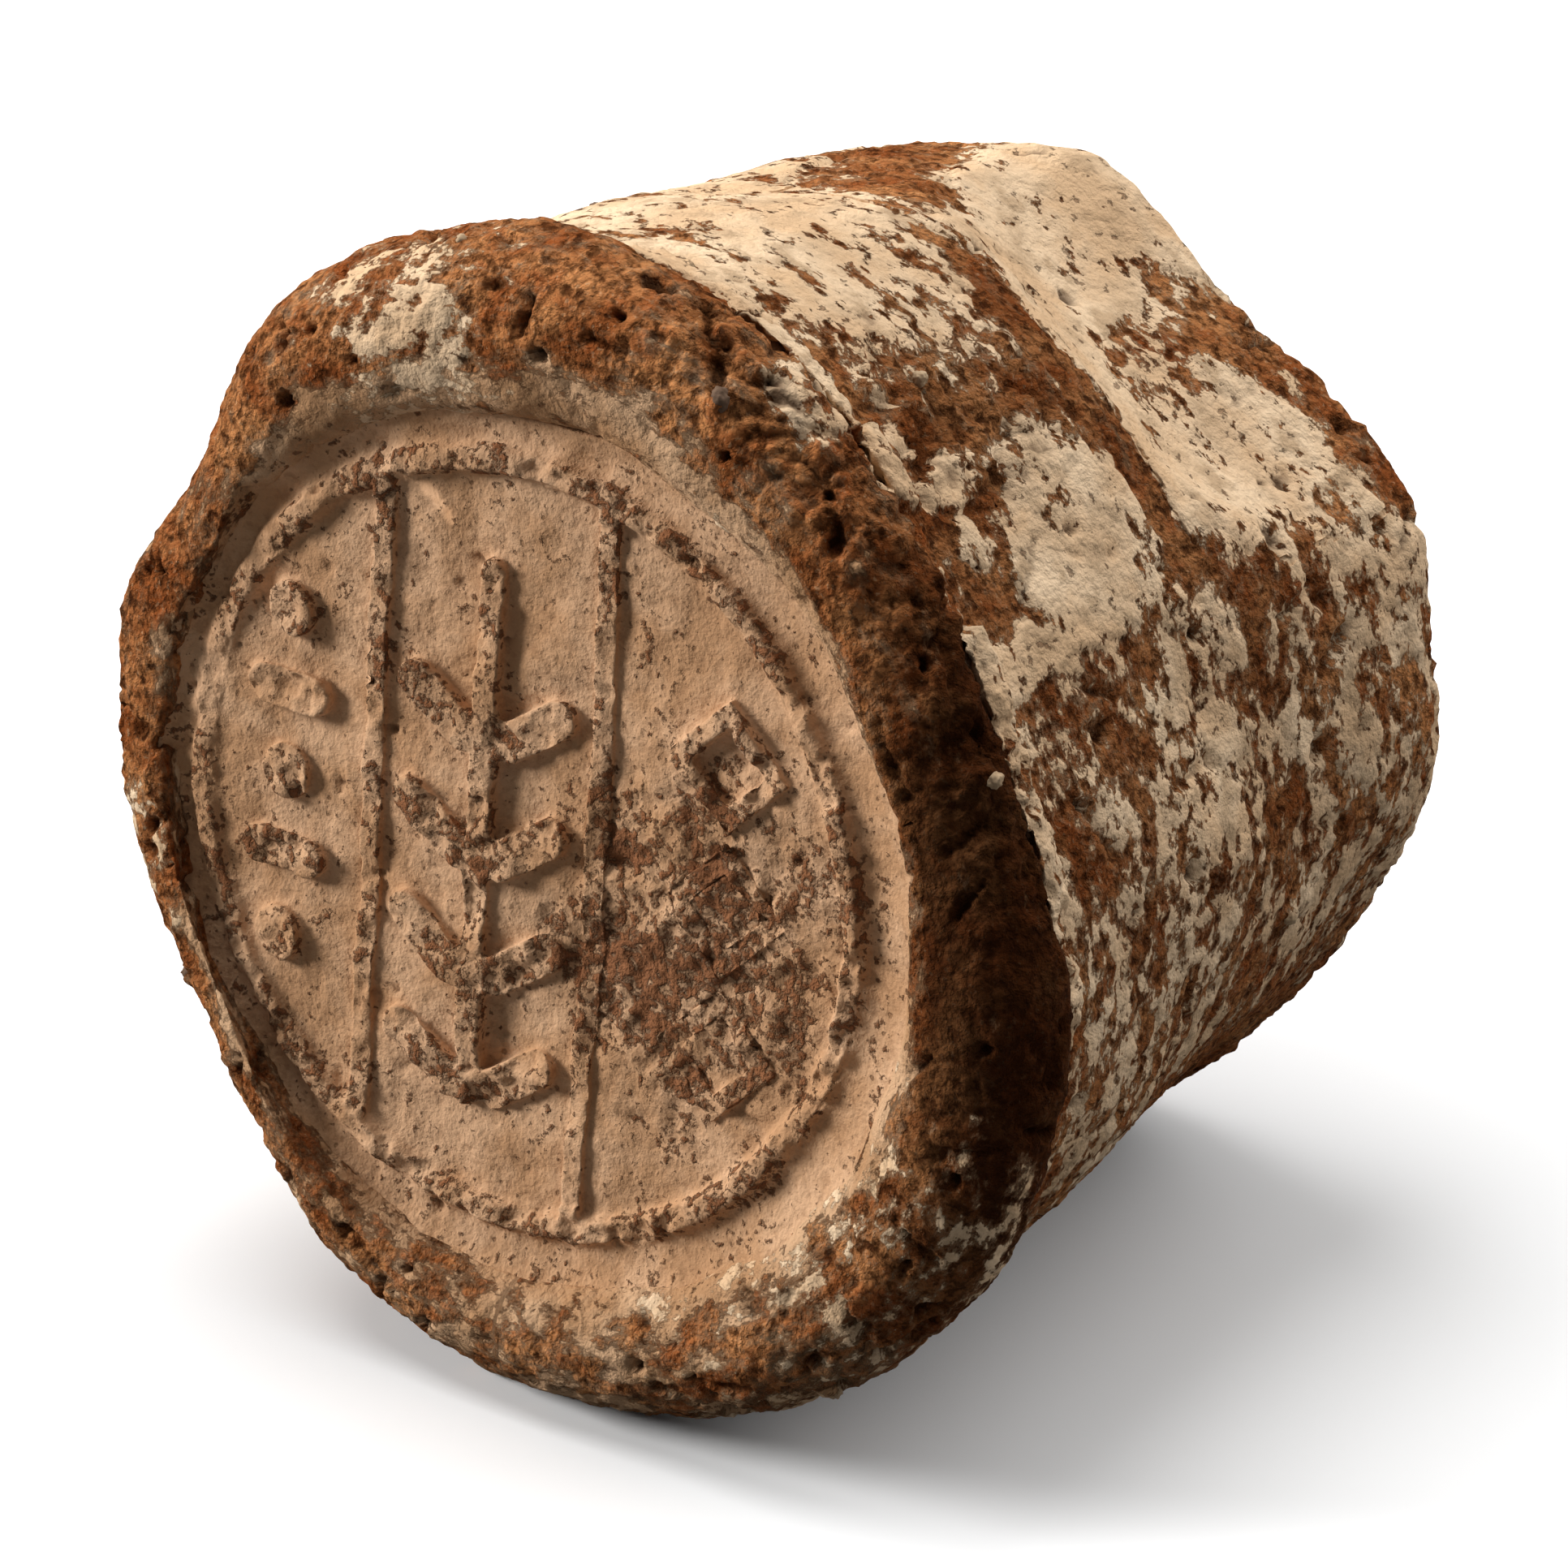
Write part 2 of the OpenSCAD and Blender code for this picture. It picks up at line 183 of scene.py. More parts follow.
def merge(piece):
    """Joins the loose triangles of a CAD mesh at the corners that they share."""
    pick(piece)
    bpy.ops.object.mode_set(mode="EDIT")
    bpy.ops.mesh.select_all(action="SELECT")
    bpy.ops.mesh.remove_doubles(threshold=JOIN)
    bpy.ops.object.mode_set(mode="OBJECT")


def keep_main(piece):
    """Keeps the body that holds the lowest vertex, and drops plugs that lie apart from it."""
    pick(piece)
    bpy.ops.object.mode_set(mode="EDIT")
    bpy.ops.mesh.select_mode(type="VERT")
    bpy.ops.mesh.select_all(action="DESELECT")
    bpy.ops.object.mode_set(mode="OBJECT")
    piece.data.vertices[int(spots_of(piece)[:, 2].argmin())].select = True
    bpy.ops.object.mode_set(mode="EDIT")
    bpy.ops.mesh.select_linked()
    bpy.ops.mesh.select_all(action="INVERT")
    bpy.ops.mesh.delete(type="VERT")
    bpy.ops.object.mode_set(mode="OBJECT")


def soft_clay(node, name, square_mm, rubs, filled=""):
    """A closed, even and rubbed copy of a CAD solid. The pockets of another node can be filled."""
    piece = copy_of(node, name)
    if filled:
        plug = copy_of(filled, "plug")
        pick(piece)
        plug.select_set(True)
        bpy.ops.object.join()
    merge(piece)
    piece.data.remesh_voxel_size = square_mm * MM
    bpy.ops.object.voxel_remesh()
    keep_main(piece)
    work(piece, "SMOOTH", factor=0.5, iterations=rubs)
    bpy.ops.object.shade_smooth()
    print(name, len(piece.data.polygons), "faces")
    return piece


def lay_grain(piece):
    """Keeps the way round, the depth and the radius of each vertex in metres, for streaks."""
    angle, depth, radius = on_cone(spots_of(piece))
    around = np.radians((angle + 90) % 360) * GRAIN_R
    layer = piece.data.attributes.new("flow", "FLOAT_VECTOR", "POINT")
    layer.data.foreach_set("vector", (np.stack([around, depth, radius], 1) * MM).ravel())


print("clay helpers ready")

# %% [markdown]
# ## Crumbs, pits and straw holes
# Silt clay with chopped straw fires to a crumbly skin: broad lumps from the hands, crumbs of 1 to
# 4 mm, round pits where grit fell out, and slits where straw burnt away. Displace modifiers with
# cloud textures give lumps and crumbs. Pits and slits are pressed one by one, because a texture
# spreads them too evenly. A patch is an angle, a depth and their half sizes.

# %% Crumb helpers
NOISE_STEP = Vector((7.3, 1.9, 4.1))


def roughen(piece, size_mm, height_mm, level=0.5, hard=False, group=""):
    """Lifts and sinks the surface by a cloud texture. A group limits where."""
    cloud = bpy.data.textures.new(f"{piece.name}_{size_mm}", "CLOUDS")
    cloud.noise_scale = size_mm * MM
    cloud.noise_depth = 2
    cloud.noise_type = "HARD_NOISE" if hard else "SOFT_NOISE"
    work(piece, "DISPLACE", texture=cloud, texture_coords="LOCAL", vertex_group=group,
         strength=height_mm * MM, mid_level=level)


def ragged(spots, size_mm, seed, octaves=3):
    """Cloudy noise about 0, with lumps of the size that is given."""
    shift = NOISE_STEP * seed
    return np.array([noise.fractal(Vector(s) / (size_mm * MM) + shift, 1.0, 2.0, octaves) for s in spots])


def height_over(piece, skin, outward):
    """How far each vertex now stands out of the rubbed skin, in mm."""
    return ((spots_of(piece) - skin) * outward).sum(1) / MM


print("crumb helpers ready")

# %% Hole and patch helpers
RIM_MM, RIM_SHARE, REACH = 1.3, 0.9, 1.6
PATCH_EDGE, PATCH_STEEP = 1.25, 2


def holes(spots, outward, where, count, wide_mm, deep_mm, long_mm, seed):
    """How far each vertex sinks, in mm, when ragged holes are pressed at random places."""
    dice = random.Random(seed)
    tree = kdtree.KDTree(len(spots))
    for i, spot in enumerate(spots):
        tree.insert(spot, i)
    tree.balance()
    sunk = np.zeros(len(spots))
    uneven = 1 + RIM_SHARE * ragged(spots, RIM_MM, seed, 2)
    allowed = np.flatnonzero(where)
    for _ in range(count):
        first = int(allowed[dice.randrange(len(allowed))])
        wide = dice.uniform(*wide_mm) * MM
        deep = dice.uniform(*deep_mm)
        run = dice.uniform(*long_mm) * MM
        loose = Vector([dice.gauss(0, 1) for _ in range(3)])
        out = Vector(outward[first])
        along = (loose - out * loose.dot(out)).normalized()
        for k in range(int(run / wide) + 1):
            centre = Vector(spots[first]) + along * (k * wide - run / 2)
            for _, i, off in tree.find_range(centre, wide * REACH):
                sunk[i] = max(sunk[i], deep * (1 - (off / wide * uneven[i]) ** 2))
    return sunk


def in_patch(angle, depth, patch):
    """1 inside a patch and 0 outside, with a soft edge."""
    a, y, half_a, half_y = patch[:4]
    off = np.hypot(turn(angle, a) / half_a, (depth - y) / half_y)
    return np.clip((PATCH_EDGE - off) * PATCH_STEEP, 0, 1)


print("hole and patch helpers ready")

# %% [markdown]
# ## The shank
# The shank is the thick stump behind the head. Its flank is hand rolled and worn. Its far end is a
# break, and a patch behind the collar has crumbled, so both get deeper, harder crumbs than the rest.
# Vertex groups hold where they are, and a Displace modifier with a group works only there.

# %% Shank clay
BREAK_FROM, BREAK_TO = 53.0, 60.0
CRUMBLING = (58, 17, 11, 12)
shank = soft_clay("shank", "shank_clay", square_mm=0.53, rubs=6, filled="temper_grit")
lay_grain(shank)
angle, depth, radius = on_cone(spots_of(shank))
broken = np.clip((depth - BREAK_FROM) / (BREAK_TO - BREAK_FROM), 0, 1)
mark(shank, "broken", broken)
mark(shank, "crumbling", in_patch(angle, depth, CRUMBLING))
shank_skin, shank_out = spots_of(shank), outward_of(shank)
roughen(shank, size_mm=4.0, height_mm=1.5, level=0.45, hard=True, group="broken")
roughen(shank, size_mm=2.4, height_mm=2.0, level=0.42, hard=True, group="crumbling")
roughen(shank, size_mm=1.7, height_mm=0.5, level=0.4, hard=True)
roughen(shank, size_mm=0.8, height_mm=0.25)

# %% Holes in the shank
SHANK_PITS = dict(count=150, wide_mm=(0.4, 1.0), deep_mm=(0.4, 1.2), long_mm=(0, 0), seed=3)
SHANK_STRAW = dict(count=110, wide_mm=(0.45, 0.6), deep_mm=(0.3, 0.8), long_mm=(2, 6), seed=5)
UNDER_COLLAR = 6
open_skin = depth > UNDER_COLLAR
sunk = np.maximum(holes(shank_skin, shank_out, open_skin, **SHANK_PITS),
                  holes(shank_skin, shank_out, open_skin, **SHANK_STRAW))
put(shank, spots_of(shank) - shank_out * sunk[:, None] * MM)
shank_height = height_over(shank, shank_skin, shank_out)
print("shank crumbs from", shank_height.min().round(2), "to", shank_height.max().round(2), "mm")

# %% [markdown]
# ## Where the lime is
# Lime wash was brushed over the whole cone once, and now covers it in patches. The fifth number of a
# patch is how full it is. Full patches stay whole, and thin ones break up into specks once the ragged
# noise is added. Bare spots take lime away again. The clay keeps the result as an attribute, with two
# more: soot and shade, for the dark core of the break and painted shade on the right side, and how
# deep a pit is, for painted shade in the pit.

# %% Lime patches on the shank
LIME = [
    (90, 20, 26, 15, 0.85), (108, 33, 18, 12, 0.7), (122, 45, 16, 13, 0.45),
    (62, 46, 33, 15, 1.5), (80, 51, 16, 10, 1.5), (42, 39, 11, 9, 1.3),
    (40, 22, 13, 9, 1.4), (32, 8, 5, 10, 0.9),
    (69, 5, 8, 2.5, 0.5), (57, 8, 3, 3, 0.5), (52, 13, 3.2, 4.5, 0.8), (45, 11.5, 4, 2.2, 0.6),
    (2, 20, 38, 24, -0.35), (12, 28, 24, 9, 0.25), (-12, 24, 16, 15, -0.2), (8, 50, 34, 16, 0.4),
    (150, 21, 18, 14, 0.5), (196, 35, 18, 14, 0.4), (222, 16, 12, 10, 0.3), (165, 48, 15, 10, 0.3),
    (250, 40, 15, 13, 0.2), (176, 29, 46, 23, -0.9), (250, 29, 36, 23, -1.1),
]
BARE = [
    (20, 3, 6, 5, 1.2), (8, 11.5, 8, 3.5, 1.1), (22, 19, 7, 5, 1.1), (2, 36.5, 8, 3, 0.8),
    (22, 37, 9, 3, 1.0), (-2, 42, 7, 4, 0.8), (18, 43, 9, 3, 0.8), (5, 53, 7, 4, 0.8),
    (36, 57, 9, 3.5, 2.6), (50, 56, 9, 4.5, 2.8), (62, 53, 7, 5, 2.3), (58, 46, 7, 8, 1.4),
    (93, 39, 10, 5, 2.2), (103, 47, 8, 5, 1.4), (38, 10, 4, 3, 1.5), (57, 30.5, 24, 1.8, 3.2),
]
NO_LIME, FAR = -1.8, -5
BROAD_MM, BROAD_SHARE, SMALL_MM, SMALL_SHARE = 6, 0.9, 1.8, 0.6


def lime_field(angle, depth, spots, lime, bare, seed):
    """How full the lime is at each vertex. Above 0 it covers the clay."""
    field = np.full(len(angle), NO_LIME)
    for patch in lime:
        field = np.maximum(field, NO_LIME + (patch[4] - NO_LIME) * in_patch(angle, depth, patch))
    field[field == NO_LIME] = FAR
    for patch in bare:
        field = field - patch[4] * in_patch(angle, depth, patch)
    field = field + BROAD_SHARE * ragged(spots, BROAD_MM, seed)
    return field + SMALL_SHARE * ragged(spots, SMALL_MM, seed + 1)


BREAK_DEPTH, BREAK_R = 57, 32
shank_lime = lime_field(angle, depth, shank_skin, LIME, BARE, 2)
shank_lime[(depth > BREAK_DEPTH) & (radius < BREAK_R)] = NO_LIME
print("lime on", round(float((shank_lime > 0).mean()) * 100), "% of the shank's mesh")

# %% What the shank's finish reads
CORE_R, CORE_FADE, CORE_SOOT = 30, 14, 0.6
# A patch of painted shade on the darker right side of the shank.
SHADED_SIDE, SIDE_SHADE_SHARE = (28, 22, 48, 22), 0.36
PIT_MM = 1.1
core = CORE_SOOT * broken * np.clip((CORE_R - radius) / CORE_FADE, 0, 1)
paint(shank, "lime", shank_lime)
paint(shank, "slip", np.full(len(angle), NO_LIME))
# Soot and shade: the break's own dark core, and painted shade on the right side.
paint(shank, "soot", np.maximum(core, SIDE_SHADE_SHARE * in_patch(angle, depth, SHADED_SIDE)))
# Pits get painted shade by how deep they are.
paint(shank, "deep", np.clip(-shank_height / PIT_MM, 0, 1))
print("the shank keeps", ", ".join(a.name for a in shank.data.attributes if a.data_type == "FLOAT"))

# %% [markdown]
# ## Lime as a skin of its own
# The wash is a thin chalky skin that lies on the clay and breaks off at ragged edges. It shares the
# clay's mesh: each vertex stands above the rubbed skin where there is lime and dives under the clay
# where there is none, so the edge comes where the two surfaces cross. A Solidify modifier makes it a
# closed flake. A corner where two flakes touch at one vertex is opened first. The thumb hollow near
# the break holds a flake of its own.

# %% Lime skin
COAT_MM, COAT_SLOPE, DIVE_MM = 0.2, 0.5, -0.7
FOLLOW, FILLED = 0.85, 0.4
FLAKE_MM, TUCKED_MM = 0.5, 0.25
CREASE = math.radians(55)


def whole_corners(kept, corners, count):
    """Drops faces round a vertex where two flakes would touch only there."""
    for _ in range(4):
        sides = np.sort(np.concatenate([corners[kept][:, [k, (k + 1) % 4]] for k in range(4)]), 1)
        edges, uses = np.unique(sides, axis=0, return_counts=True)
        rim = np.bincount(edges[uses == 1].ravel(), minlength=count)
        kept = kept & ~(rim > 2)[corners].any(1)
    return kept


def lime_skin(name, clay, skin, outward, field, height, where):
    """Closed flakes of lime over a clay piece, in the part of it that is given."""
    follow = FOLLOW - FILLED * np.clip(field, 0, 1)
    coat = np.clip(field * COAT_SLOPE, DIVE_MM, COAT_MM) + follow * height
    piece = bpy.data.objects.new(name, clay.data.copy())
    bpy.context.scene.collection.objects.link(piece)
    put(piece, skin + outward * coat[:, None] * MM)
    corners = np.empty(len(piece.data.loops), dtype=int)
    piece.data.loops.foreach_get("vertex_index", corners)
    corners = corners.reshape(-1, 4)
    kept = ((coat > height - TUCKED_MM) & where)[corners].all(1)
    kept = whole_corners(kept, corners, len(skin))
    pick(piece)
    bpy.ops.object.mode_set(mode="EDIT")
    bpy.ops.mesh.select_mode(type="FACE")
    bpy.ops.mesh.select_all(action="DESELECT")
    bpy.ops.object.mode_set(mode="OBJECT")
    piece.data.polygons.foreach_set("select", ~kept)
    bpy.ops.object.mode_set(mode="EDIT")
    bpy.ops.mesh.delete(type="FACE")
    bpy.ops.object.mode_set(mode="OBJECT")
    work(piece, "SOLIDIFY", thickness=FLAKE_MM * MM, offset=-1)
    bpy.ops.object.shade_smooth_by_angle(angle=CREASE)
    print(name, len(piece.data.polygons), "faces")
    return piece


HOLLOW_FROM, HOLLOW_TO, HOLLOW_DEPTH = 29, 100, 31
in_hollow = (angle > HOLLOW_FROM) & (angle < HOLLOW_TO) & (depth > HOLLOW_DEPTH)
on_shank = (shank, shank_skin, shank_out, shank_lime, shank_height)
shank_limewash = lime_skin("shank_limewash", *on_shank, ~in_hollow)
hollow_limewash = lime_skin("hollow_limewash", *on_shank, in_hollow)

# %% [markdown]
# ## The head's rolled collar
# Pressing the stamp pushed the clay out into a thick roll round the face, pinched by fingers here and
# there. The lip is worn lower on the left, and the crest has crumbled at the upper right, so there it
# gets harder crumbs. The slope inside the crest kept some of the fine slip of the face and is
# smoother, so a share of slope is worked out from the radius and the side.

# %% Collar clay
LOW_SIDE, LOW_HALF, LIP_MM, LOWER_MM = 178, 42, 3.5, 2.0
CRUMBLED, CREST_R, CREST_FADE = (46, 2, 36, 7), 33, 3
collar = soft_clay("head_collar", "collar_clay", square_mm=0.36, rubs=10, filled="temper_grit")
roughen(collar, size_mm=9, height_mm=1.4)
lay_grain(collar)
angle, depth, radius = on_cone(spots_of(collar))
low_left = round_about(angle, LOW_SIDE, LOW_HALF) * np.clip(-depth / LIP_MM, 0, 1)
put(collar, spots_of(collar) + np.outer(low_left * LOWER_MM * MM, AXIS))
angle, depth, radius = on_cone(spots_of(collar))
on_crest = np.clip((radius - CREST_R) / CREST_FADE, 0, 1)
mark(collar, "crumbled", in_patch(angle, depth, CRUMBLED) * on_crest)
collar_skin, collar_out = spots_of(collar), outward_of(collar)
roughen(collar, size_mm=2.8, height_mm=1.7, level=0.45, hard=True, group="crumbled")
roughen(collar, size_mm=1.7, height_mm=0.42, level=0.4, hard=True)
roughen(collar, size_mm=0.8, height_mm=0.24)

# %% Inner slope and holes of the collar
COLLAR_PITS = dict(count=170, wide_mm=(0.4, 1.0), deep_mm=(0.4, 1.3), long_mm=(0, 0), seed=7)
COLLAR_STRAW = dict(count=120, wide_mm=(0.4, 0.55), deep_mm=(0.3, 0.9), long_mm=(2, 6), seed=8)
SLIP_EDGE, SLIP_FADE, SLIP_DEPTH, SMOOTHED = 34.2, 3, 2, 0.65
# Each side is an angle, a half width and how much farther out the slip reaches there, in mm.
SLIP_SIDES = ((-75, 50, -0.9), (22, 38, -4.0), (180, 50, -3.2))
open_side = (radius > CREST_R) | (depth < 0)
sunk = np.maximum(holes(collar_skin, collar_out, open_side, **COLLAR_PITS),
                  holes(collar_skin, collar_out, open_side, **COLLAR_STRAW))
slip_reach = SLIP_EDGE + sum(more * round_about(angle, side, half) for side, half, more in SLIP_SIDES)
slope = np.clip((slip_reach - radius) / SLIP_FADE + 0.5, 0, 1)
slope = slope * np.clip((SLIP_DEPTH - depth) / SLIP_DEPTH, 0, 1)
moved = spots_of(collar) - collar_skin - collar_out * sunk[:, None] * MM
put(collar, collar_skin + moved * (1 - SMOOTHED * slope)[:, None])
collar_height = height_over(collar, collar_skin, collar_out)
print("collar crumbs from", collar_height.min().round(2), "to", collar_height.max().round(2), "mm")

# %% [markdown]
# ## Lime, slip, dust and painted shade on the collar
# A few flakes of lime are left on the lip. Slip clings to the inner slope, pale dust to the lower
# roll that lay in the ground, and the right flank gets painted shade and no slip. They are attributes
# again, so that one clay finish serves both the shank and the collar.

# %% Lime and slip on the collar
COLLAR_LIME = [
    (110, -2, 12, 5, -0.5), (64, 3, 5, 4, 0.7), (56, 7, 5, 3, 0.6), (25, 8.5, 14, 1.5, 0.0),
    (-42, -1, 24, 5, -1.0), (-60, 4, 14, 6, -1.2), (196, 4, 13, 6, -0.9),
]
# The right flank is a patch of painted shade, and the slip is swept off it.
SHADED_FLANK, SWEPT = (2, 4, 44, 9), 1.4
DUST, DUST_SIDE, DUST_HALF, DUST_DEPTH, DUST_FADE = 1.35, -78, 42, 5, 4
SLIP_GAIN, NO_SLIP = 2.6, -1.3
collar_lime = lime_field(angle, depth, collar_skin, COLLAR_LIME, [], 4)
dusty = round_about(angle, DUST_SIDE, DUST_HALF) * np.clip((DUST_DEPTH - depth) / DUST_FADE, 0, 1)
flank_shade = in_patch(angle, depth, SHADED_FLANK) * (1 - slope)
slip = np.maximum(SLIP_GAIN * slope, DUST * dusty) + NO_SLIP - SWEPT * flank_shade
slip = slip + 0.7 * ragged(collar_skin, 5, 6) + 0.5 * ragged(collar_skin, 1.6, 7)
paint(collar, "lime", collar_lime)
paint(collar, "slip", slip)
# Painted shade on the right flank.
paint(collar, "soot", flank_shade)
# Pits get painted shade by how deep they are.
paint(collar, "deep", np.clip(-collar_height / PIT_MM, 0, 1))
on_collar = (collar, collar_skin, collar_out, collar_lime, collar_height)
collar_limewash = lime_skin("collar_limewash", *on_collar, open_side)

# %% [markdown]
# ## The stamped face
# The stamp was carved in reverse, so the ring, the two rules and the ornament stand up from the face.
# Their edges are soft and chipped, and the middle right is worn nearly flat. The CAD relief is the
# start, so the height of each vertex in front of the face tells what it belongs to.

# %% Stamped face
STAMP = np.array((-1.0, -1.0))
FRONT = -0.8
face = soft_clay("stamped_pad", "stamped_face", square_mm=0.305, rubs=4)
spots = spots_of(face)
arm = (spots - HEART) / MM
across, high, proud = arm @ SIDE, arm @ UP, -(arm @ AXIS)
from_middle = np.hypot(across - STAMP[0], high - STAMP[1])
front = proud > FRONT
print("CAD relief up to", proud[front].max().round(2), "mm")

# %% Wear of the relief
WORN_AT, WORN_HALF, WORN_MM = (13, -4), (10, 12), 0.35
RULES, RULE_HALF, RULE_CHIPS, INSIDE_RING = (-12.5, 6.0), 1.4, 0.55, 25.5
FAINT_FROM, FAINT_FADE, FAINT = -20, 5, 0.4
LEFT_STANDING, EASED, FLATTENED = 0.62, 1.1, 0.85
worn_off = np.hypot((across - WORN_AT[0]) / WORN_HALF[0], (high - WORN_AT[1]) / WORN_HALF[1])
worn_patch = np.clip(1.3 - worn_off, 0, 1)
worn_patch = np.clip(worn_patch * 1.4 + 0.8 * ragged(spots, 4, 11) * (worn_patch > 0), 0, 1)
chips = np.clip(1.05 + 0.9 * ragged(spots, 4, 12) + 0.5 * ragged(spots, 1.2, 17), 0.3, 1.25)
to_rule = np.min([np.abs(across - STAMP[0] - rule) for rule in RULES], axis=0)
on_rule = (to_rule < RULE_HALF) & (from_middle < INSIDE_RING)
chips = np.where(on_rule, chips * RULE_CHIPS, chips)
faint_left = 1 - FAINT * np.clip((FAINT_FROM - across) / FAINT_FADE, 0, 1)
ridge = LEFT_STANDING * np.clip(proud, 0, None) ** EASED * chips * faint_left
ridge = ridge * (1 - FLATTENED * worn_patch)
lift = np.where(proud > 0, ridge, proud)
lift = lift + 0.5 * ragged(spots, 9, 13) - WORN_MM * worn_patch
lift = lift + 0.1 * ragged(spots, 1.4, 14) * (1 + 3 * worn_patch)
print("worn relief up to", ridge[front].max().round(2), "mm")

# %% [markdown]
# Round the ring the wet face was squeezed up and out against the collar, apart from a crease at the
# top where the two lie apart, and the stamp sits a little left of the middle. So the margin is raised
# and moved outwards, and what is inside it moves sideways. Then small pits are pressed, and an
# attribute keeps where tops and the worn side are rubbed through.

# %% Margin, pits and rubbed tops
MARGIN_FROM, MARGIN_WIDE, MARGIN_LIFT, MARGIN_OUT, OFF_SIDE = 28.2, 2.3, 1.3, 1.3, -1.2
CREASE_AT, CREASE_HALF = 92, 16
FACE_PITS = dict(count=90, wide_mm=(0.3, 0.6), deep_mm=(0.15, 0.45), long_mm=(0, 0), seed=15)
edge = np.clip((from_middle - MARGIN_FROM) / MARGIN_WIDE, 0, 1)
crease = round_about(np.degrees(np.arctan2(high, across)), CREASE_AT, CREASE_HALF)
lift = lift + MARGIN_LIFT * edge ** 2 * (1 - 0.8 * crease)
ray = np.outer(across - STAMP[0], SIDE) + np.outer(high - STAMP[1], UP)
ray = ray / np.maximum(from_middle, 1)[:, None]
slid = ray * (MARGIN_OUT * edge * (1 - crease))[:, None] + SIDE * (OFF_SIDE * (1 - edge))[:, None]
spots = spots + (slid - AXIS * (lift - proud)[:, None]) * front[:, None] * MM
put(face, spots)
face_out = outward_of(face)
sunk = holes(spots, face_out, front, **FACE_PITS)
put(face, spots - face_out * sunk[:, None] * MM)
tops = np.clip((ridge - 0.2) / 0.2, 0, 1) * (1 - edge)
paint(face, "worn", tops * 0.9 + worn_patch * 1.5 + 1.2 * ragged(spots, 5, 16) - 1.1)
# The depth of each pit, for the shade that the finish paints into it.
paint(face, "deep", np.clip(sunk / 0.5, 0, 1))
print("face and margin up to", lift[front].max().round(2), "mm")

# %% [markdown]
# ## Lime in the seam
# Where the collar laps over the shank a bead of lime ran into the joint, and parts of it have dropped
# out. The bead follows the lime patches on both sides of it, and sinks where there are none.

# %% Seam lime
SUNK_MM, SEAM_MORE, SEAM_EDGE = 1.1, 0.5, 0.4
seam = soft_clay("seam_fill", "seam_lime", square_mm=0.3, rubs=4)
lay_grain(seam)
seam_skin = spots_of(seam)
angle, depth, radius = on_cone(seam_skin)
seam_field = lime_field(angle, depth, seam_skin, LIME + COLLAR_LIME, [], 2) + SEAM_MORE
roughen(seam, size_mm=4, height_mm=1.2, level=0.55)
roughen(seam, size_mm=1.4, height_mm=0.6, level=0.5, hard=True)
drop = np.clip(SEAM_EDGE - seam_field, 0, 1) * SUNK_MM
put(seam, spots_of(seam) - away(seam_skin) * drop[:, None] * MM)
paint(seam, "lime", seam_field)
paint(seam, "slip", np.full(len(angle), NO_LIME))
print("seam lime stands out on", round(float((drop == 0).mean()) * 100), "% of the bead")

# %% [markdown]
# ## Grit
# Small stones of limestone, and a few dark ones, stand out of the clay where the CAD has its pockets.
# The CAD stones are round, so each is only a place and a size here. A new icosphere at that place is
# knocked out of round, and the stones are joined to one piece.

# %% Grit
SHOWN, STAND, DARK_EVERY = 0.66, 0.8, 3
loose = copy_of("temper_grit", "grit_places")
merge(loose)
bpy.ops.object.mode_set(mode="EDIT")
bpy.ops.mesh.select_all(action="SELECT")
bpy.ops.mesh.separate(type="LOOSE")
bpy.ops.object.mode_set(mode="OBJECT")
stones = []
for number, place in enumerate(sorted(bpy.context.selected_objects, key=lambda o: o.name)):
    ball = spots_of(place)
    middle = (ball.min(0) + ball.max(0)) / 2
    size = np.ptp(ball, axis=0).max() / 2 * SHOWN
    middle = middle + away(middle[None])[0] * size * STAND
    bpy.data.objects.remove(place)
    bpy.ops.object.select_all(action="DESELECT")
    bpy.ops.mesh.primitive_ico_sphere_add(subdivisions=4, radius=size, location=middle)
    bpy.ops.object.transform_apply(location=True, rotation=False, scale=False)
    stone = bpy.context.object
    roughen(stone, size_mm=size / MM * 1.3, height_mm=size / MM * 0.9, level=0.55)
    roughen(stone, size_mm=size / MM * 0.4, height_mm=size / MM * 0.25, hard=True)
    bpy.ops.object.shade_smooth()
    paint(stone, "dark", np.full(len(stone.data.vertices), float(number % DARK_EVERY == 1)))
    stones.append(stone)
pick(stones[0])
for stone in stones:
    stone.select_set(True)
bpy.ops.object.join()
grit = bpy.context.object
grit.name = "grit_stones"
print("grit:", len(stones), "stones")

# %% [markdown]
# ## Colours and patterns
# Colours are written as they look on a screen and turned to linear light in one place. Every pattern
# takes its scale from a size in millimetres.

# %% Material helpers
def shade(code):
    """The linear colour of a hex code."""
    parts = [int(code[i:i + 2], 16) / 255 for i in (1, 3, 5)]
    return tuple(c / 12.92 if c <= 0.04045 else ((c + 0.055) / 1.055) ** 2.4 for c in parts) + (1.0,)


def per_mm(size):
    return 1 / (size * MM)


def add(tree, kind, sockets, **settings):
    """Adds one node, with its settings and with values or links for its sockets."""
    made = tree.nodes.new(kind)
    for key, value in settings.items():
        setattr(made, key, value)
    for key, value in sockets.items():
        if isinstance(value, bpy.types.NodeSocket):
            tree.links.new(value, made.inputs[key])
        else:
            made.inputs[key].default_value = value
    return made


def start(name):
    finish = bpy.data.materials.new(name)
    finish.use_nodes = True
    tree = finish.node_tree
    where = add(tree, "ShaderNodeTexCoord", {}).outputs["Object"]
    return finish, tree, tree.nodes["Principled BSDF"], where


print("a mid brown is", [round(c, 3) for c in shade("#ab6335")[:3]], "in linear light")
